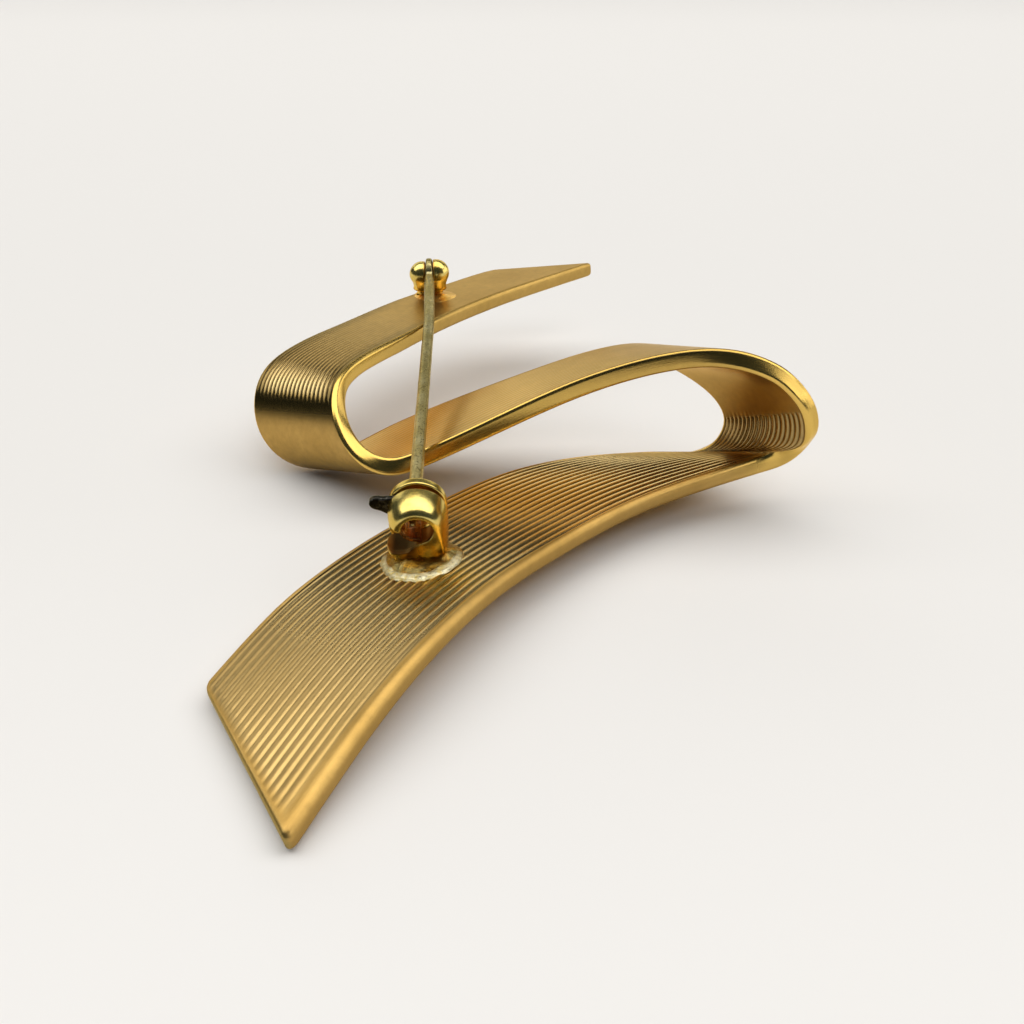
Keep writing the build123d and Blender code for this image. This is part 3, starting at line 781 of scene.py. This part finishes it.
def ribbon_finish():
    """Satin gilt metal, burnished on the loops' rims. Painted shade darkens the valleys between the ribs, the
    loops' insides and other places, a painted highlight makes the ribs paler and a painted dark reflection
    makes a dark band."""
    material, tree, shader = metal("ribbon_gilt")
    satin = (0.80, 0.50, 0.145, 1)
    deep_satin = (0.66, 0.40, 0.105, 1)
    painted_rib_highlight = (1.0, 0.76, 0.36, 1)
    valley_shade = (0.060, 0.048, 0.016, 1)
    burnished = (0.74, 0.49, 0.12, 1)
    # The dark colour that the painted shade blends towards.
    painted_shade = (0.25, 0.155, 0.048, 1)
    painted_dark_reflection = (0.075, 0.06, 0.022, 1)
    olive = (0.30, 0.235, 0.085, 1)
    spot_orange = (1.0, 0.60, 0.06, 1)
    cloud = stretch(tree, grain(tree, 3.5, 3.0), 0.35, 0.65)
    fine = grain(tree, 0.09, 3.0, 0.6)
    brushed = grain(tree, 0.11, 2.0, 0.5, flow=2.5)
    worn = stretch(tree, grain(tree, 0.5, 4.0, 0.6), 0.35, 0.7)
    base = blend(tree, cloud, satin, deep_satin)
    # The rib zone is painted paler, a painted highlight that stays on the crests once the valleys are
    # darkened.
    base = blend(tree, times(tree, mask(tree, "rib_zone"), 0.8), base, painted_rib_highlight)
    deep = maths(tree, "MINIMUM", times(tree, mask(tree, "valley_shade"), 1.45), 1.0)
    # Painted shade and dark reflection in the rib valleys, nearly black.
    base = blend(tree, times(tree, deep, 0.88), base, valley_shade)
    base = blend(tree, times(tree, mask(tree, "rim"), mask(tree, "polish")), base, burnished)
    # Painted shade on the lower part of the rims.
    base = blend(tree, times(tree, mask(tree, "rim_lower_shade"), 0.45), base, painted_shade)
    # Painted shade at the places of its mask, its strength mottled by noise.
    base = blend(tree, times(tree, mask(tree, "painted_shade"), level(tree, worn, 0.75, 1.0)), base, painted_shade)
    # A painted dark reflection in a band on the left loop and along the borders.
    base = blend(tree, times(tree, mask(tree, "dark_reflection_band"), 0.85), base, painted_dark_reflection)
    base = blend(tree, times(tree, mask(tree, "cut_end"), 0.75), base, olive)
    # The orange spot on the metal beside the catch.
    base = blend(tree, times(tree, mask(tree, "orange_spot"), 0.75), base, spot_orange)
    rough = level(tree, fine, 0.34, 0.44)
    rough = level(tree, mask(tree, "polish"), rough, 0.31)
    rough = level(tree, mask(tree, "rib_zone"), rough, 0.22)
    rough = level(tree, mask(tree, "rim"), rough, 0.40)
    rough = level(tree, times(tree, mask(tree, "rim"), mask(tree, "polish")), rough, 0.22)
    rough = level(tree, mask(tree, "dark_reflection_band"), rough, 0.24)
    shaded(tree, shader, base, rough)
    relief(tree, shader, [(fine, 0.010, 0.35), (brushed, 0.012, 0.30)])
    return material


def case_finish():
    """Polished pale gilt of the catch and the cheeks, reddish brown inside, amber low down as a painted
    reflection of the gold below and black on the catch's mouth floor as painted shadow.
    """
    material, tree, shader = metal("polished_gilt")
    bright = (0.80, 0.64, 0.20, 1)
    yellow = (0.70, 0.50, 0.12, 1)
    amber = (0.92, 0.47, 0.02, 1)
    brown = (0.42, 0.18, 0.035, 1)
    black = (0.018, 0.014, 0.009, 1)
    cloud = stretch(tree, grain(tree, 1.1, 3.0), 0.38, 0.62)
    fine = grain(tree, 0.16, 3.0, 0.6)
    base = blend(tree, cloud, bright, yellow)
    # Amber low down on the catch and cheeks, a painted reflection of the gold below.
    base = blend(tree, times(tree, mask(tree, "low"), level(tree, cloud, 0.9, 0.55)), base, amber)
    base = blend(tree, times(tree, mask(tree, "inside"), 0.9), base, brown)
    # Black on the mouth's floor: painted shadow.
    base = blend(tree, times(tree, mask(tree, "deep_shadow"), 0.9), base, black)
    rough = level(tree, mask(tree, "inside"), level(tree, fine, 0.19, 0.27), 0.40)
    shaded(tree, shader, base, rough)
    relief(tree, shader, [(grain(tree, 0.75, 2.0), 0.05, 0.25), (fine, 0.012, 0.3)])
    return material


def wire_finish():
    """Drawn brass wire gone olive, speckled where the tarnish has worn off, brassier near the catch."""
    material, tree, shader = metal("drawn_wire")
    olive = (0.26, 0.22, 0.085, 1)
    grey = (0.38, 0.34, 0.18, 1)
    brass = (0.72, 0.58, 0.24, 1)
    dark = (0.07, 0.055, 0.02, 1)
    speckle = stretch(tree, grain(tree, 0.14, 4.0, 0.65), 0.46, 0.60)
    spots = stretch(tree, grain(tree, 0.22, 3.0, 0.6), 0.55, 0.68)
    patch = stretch(tree, grain(tree, 1.6, 2.0), 0.42, 0.62)
    base = blend(tree, patch, olive, grey)
    share = maths(tree, "ADD", times(tree, speckle, 0.45), times(tree, mask(tree, "near_catch"), 0.35))
    base = blend(tree, share, base, brass)
    base = blend(tree, times(tree, spots, 0.6), base, dark)
    shaded(tree, shader, base, level(tree, speckle, 0.42, 0.26))
    relief(tree, shader, [(grain(tree, 0.12, 3.0, 0.6), 0.02, 0.45)])
    return material


def sleeve_finish():
    """Brown tarnished brass of the turning sleeve, nearly black on the tab."""
    material, tree, shader = metal("tarnished_brass")
    reddish = (0.50, 0.21, 0.07, 1)
    pale = (0.70, 0.46, 0.30, 1)
    black = (0.040, 0.037, 0.030, 1)
    worn = (0.20, 0.195, 0.17, 1)
    speckle = stretch(tree, grain(tree, 0.32, 3.0, 0.6), 0.48, 0.70)
    tube = blend(tree, times(tree, speckle, 0.7), reddish, pale)
    tab = blend(tree, times(tree, speckle, 0.6), black, worn)
    base = blend(tree, mask(tree, "tab"), tube, tab)
    shaded(tree, shader, base, level(tree, speckle, 0.20, 0.40))
    relief(tree, shader, [(grain(tree, 0.25, 3.0), 0.02, 0.35)])
    return material


def solder_finish():
    """Rough pale solder, pitted, yellow where the gilding has run over it."""
    material, tree, shader = metal("pitted_solder")
    pale = (0.90, 0.84, 0.58, 1)
    yellow = (0.62, 0.48, 0.17, 1)
    amber = (0.42, 0.22, 0.025, 1)
    olive = (0.34, 0.27, 0.10, 1)
    pit = (0.13, 0.10, 0.04, 1)
    lumps = grain(tree, 0.34, 4.0, 0.65)
    crumbs = grain(tree, 0.10, 4.0, 0.7)
    pits = stretch(tree, grain(tree, 0.17, 3.0, 0.7), 0.55, 0.66)
    base = blend(tree, stretch(tree, lumps, 0.38, 0.58), yellow, pale)
    plateau = blend(tree, stretch(tree, grain(tree, 0.9, 3.0), 0.42, 0.60), amber, olive)
    base = blend(tree, mask(tree, "brim"), plateau, base)
    base = blend(tree, times(tree, pits, 0.75), base, pit)
    shaded(tree, shader, base, level(tree, mask(tree, "brim"), 0.22, 0.42))
    relief(tree, shader, [(lumps, 0.10, 0.8), (crumbs, 0.035, 0.8)])
    return material


def flowed_finish():
    """Smooth orange gilding that has flowed round the hinge's foot."""
    material, tree, shader = metal("flowed_gilt")
    orange = (0.92, 0.56, 0.15, 1)
    deep = (0.66, 0.41, 0.12, 1)
    cloud = stretch(tree, grain(tree, 0.8, 3.0), 0.35, 0.65)
    shaded(tree, shader, blend(tree, cloud, orange, deep), level(tree, cloud, 0.24, 0.36))
    relief(tree, shader, [(grain(tree, 0.4, 2.0), 0.03, 0.4)])
    return material


def table_finish():
    """A matt pale table top with a very faint cloudiness, painted slowly paler far behind and close in front
    as painted light.
    """
    material = bpy.data.materials.new("pale_table")
    material.use_nodes = True
    tree = material.node_tree
    shader = tree.nodes["Principled BSDF"]
    cloud = tree.nodes.new("ShaderNodeTexNoise")
    cloud.inputs["Scale"].default_value = 3.0
    place = tree.nodes.new("ShaderNodeTexCoord")
    parts = tree.nodes.new("ShaderNodeSeparateXYZ")
    tree.links.new(place.outputs["Object"], parts.inputs["Vector"])
    tree.links.new(place.outputs["Object"], cloud.inputs["Vector"])
    # Painted light: the table is made paler far behind and close in front.
    painted_light_far = times(tree, stretch(tree, parts.outputs["Y"], 0.06, 0.42), 0.5)
    painted_light_near = times(tree, stretch(tree, parts.outputs["Y"], 0.0, -0.035), 0.5)
    colour = blend(tree, cloud.outputs["Fac"], (0.775, 0.753, 0.726, 1), (0.785, 0.762, 0.734, 1))
    colour = blend(tree, painted_light_far, colour, (0.86, 0.835, 0.804, 1))
    colour = blend(tree, painted_light_near, colour, (0.875, 0.852, 0.828, 1))
    tree.links.new(colour, shader.inputs["Base Color"])
    shader.inputs["Roughness"].default_value = 0.9
    shader.inputs["Specular IOR Level"].default_value = 0.1
    return material


def backdrop_finish():
    """A pale backdrop that glows faintly and evenly, as paper does in a studio."""
    material = bpy.data.materials.new("backdrop_paper")
    material.use_nodes = True
    tree = material.node_tree
    shader = tree.nodes["Principled BSDF"]
    paper = grain(tree, 900.0, 2.0)
    colour = blend(tree, paper, (0.83, 0.81, 0.775, 1), (0.85, 0.83, 0.795, 1))
    shader.inputs["Base Color"].default_value = (0.02, 0.02, 0.02, 1)
    shader.inputs["Specular IOR Level"].default_value = 0.0
    tree.links.new(colour, shader.inputs["Emission Color"])
    shader.inputs["Emission Strength"].default_value = 1.0
    return material


# Outlines of the solder, x and z from the middle of each foot
CATCH_POOL = np.array([[2.80, 1.18], [2.25, 2.70], [1.35, 3.45], [0.47, 3.72], [-0.94, 3.20], [-1.60, 2.39],
                       [-2.12, 0.95], [-2.05, -0.5], [-1.3, -1.7], [0.0, -2.1], [1.1, -2.0], [1.8, -1.4],
                       [2.50, -0.25]])
CATCH_LUMPS = [(1.95, 1.5, 0.32, 0.30), (2.0, 0.5, 0.36, 0.22), (-1.5, 2.0, 0.35, 0.12),
               (0.3, 2.2, 0.7, 0.22), (-0.6, 1.8, 0.6, 0.22), (1.5, 2.4, 0.3, 0.14)]
HINGE_POOL = np.array([[1.95, 0.3], [2.25, 1.4], [1.9, 2.4], [1.0, 2.9], [0.1, 2.6], [-0.8, 1.6],
                       [-1.35, 0.3], [-1.1, -0.9], [0.0, -1.2], [1.2, -0.9]])
HINGE_LUMPS = [(1.1, 1.6, 0.45, 0.06)]

polished_gilt = case_finish()
catch_mound = solder_mound(CATCH_PLACE, CATCH_ACROSS, CATCH_POOL, height=0.30, lumps=CATCH_LUMPS, seed=4)
hinge_mound = solder_mound(HINGE_PLACE, HINGE_ACROSS, HINGE_POOL, height=0.20, lumps=HINGE_LUMPS, seed=9,
                           edge=1.9)
ribbon = put_mesh("ribbon_strip", [ribbon_piece()], "brooch", ribbon_finish())
catch = put_mesh("catch_case", catch_case(), "brooch", polished_gilt)
cheeks = put_mesh("hinge_cheeks", hinge_cheeks(), "brooch", polished_gilt)
catch_solder = put_mesh("catch_solder", [catch_mound], "brooch", solder_finish())
hinge_solder = put_mesh("hinge_solder", [hinge_mound], "brooch", flowed_finish())
for piece in (ribbon, catch, cheeks, catch_solder, hinge_solder):
    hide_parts("ribbon")
pin = put_mesh("pin_wire", pin_piece(), "pin", wire_finish())
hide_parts("pin_stem")
sleeve = put_mesh("turning_sleeve", turning_sleeve(), "lock", sleeve_finish())
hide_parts("catch_sleeve")


def round_wall():
    """Points and faces of an upright ring: a circle at the table's height and the same circle higher up."""
    turn = np.radians(np.arange(0, 360, 5))
    foot = np.stack([WALL_RADIUS * np.cos(turn), WALL_RADIUS * np.sin(turn), 0 * turn + WALL_FOOT], axis=-1)
    first = np.arange(len(turn))
    second = np.roll(first, -1)
    faces = np.stack([first, first + len(turn), second + len(turn), second], axis=-1)
    return np.concatenate([foot, foot + [0, 0, WALL_HEIGHT]]).tolist(), faces.tolist()


def room_piece(name, points, faces, material):
    """An object of the room, in metres, from its points and faces."""
    mesh = bpy.data.meshes.new(name)
    mesh.from_pydata(points, [], faces)
    mesh.materials.append(material)
    piece = bpy.data.objects.new(name, mesh)
    bpy.context.scene.collection.objects.link(piece)
    return piece


table_corners = [(-TABLE_HALF, -TABLE_HALF, 0), (TABLE_HALF, -TABLE_HALF, 0), (TABLE_HALF, TABLE_HALF, 0),
                 (-TABLE_HALF, TABLE_HALF, 0)]
floor = room_piece("table_top", table_corners, [(0, 1, 2, 3)], table_finish())

# A pale round wall stands on the table, and only the camera sees it.
wall = room_piece("pale_backdrop", *round_wall(), backdrop_finish())
wall.visible_glossy = False
wall.visible_diffuse = False
wall.visible_shadow = False


def soft_panel(name, place, wide, deep, energy, colour=(1.0, 0.985, 0.96)):
    """A rectangular soft light that faces the brooch."""
    panel = bpy.data.lights.new(name, "AREA")
    panel.shape = "RECTANGLE"
    panel.size = wide
    panel.size_y = deep
    panel.energy = energy
    panel.color = colour
    stand = bpy.data.objects.new(name, panel)
    stand.location = place
    stand.rotation_euler = (-Vector(place)).to_track_quat("-Z", "Y").to_euler()
    bpy.context.scene.collection.objects.link(stand)
    return stand


# A large soft light overhead, a low one behind, three small ones and a dark room round them.
# The right one and the loop's only make highlights on the pieces that they are linked to. The front one only
# shapes the shadows on the table, and no metal mirrors it.
soft_panel("overhead_panel", (0.0, 0.18, 1.5), 5.0, 1.45, 52.0)
soft_panel("back_panel", (-0.30, 2.0, 0.72), 3.2, 1.15, 11.0)
right = soft_panel("right_panel", (1.9, 0.45, 0.46), 2.4, 0.88, 10.0)
right.visible_diffuse = False
loop = soft_panel("loop_panel", (1.19, -0.77, 0.75), 1.0, 0.75, 3.8)
loop.visible_diffuse = False
for light, pieces in ((right, (ribbon, cheeks, pin)), (loop, (ribbon,))):
    lit = bpy.data.collections.new("lit_by_" + light.name)
    for piece in pieces:
        lit.objects.link(piece)
    light.light_linking.receiver_collection = lit
front = soft_panel("front_panel", (0.25, -1.0, 1.10), 0.8, 0.5, 3.8, (0.93, 0.97, 1.0))
front.visible_glossy = False

world = bpy.data.worlds.new("studio")
world.use_nodes = True
world.node_tree.nodes["Background"].inputs["Color"].default_value = (0.62, 0.82, 1.0, 1)
world.node_tree.nodes["Background"].inputs["Strength"].default_value = 0.05
bpy.context.scene.world = world
bpy.context.scene.view_settings.view_transform = "Standard"

# The camera looks 30 degrees down on the brooch from in front of its wide tail.
camera = bpy.data.cameras.new("camera")
camera.sensor_width = 36.0
camera.lens = 35.156
camera.clip_start = 0.002
camera.clip_end = 60.0
camera_object = bpy.data.objects.new("camera", camera)
eye = Vector((-0.386, -58.421, 33.246)) * MM
target = Vector((-0.386, -0.686, -0.087)) * MM
camera_object.location = eye
camera_object.rotation_euler = (target - eye).to_track_quat("-Z", "Y").to_euler()
bpy.context.scene.collection.objects.link(camera_object)
bpy.context.scene.camera = camera_object
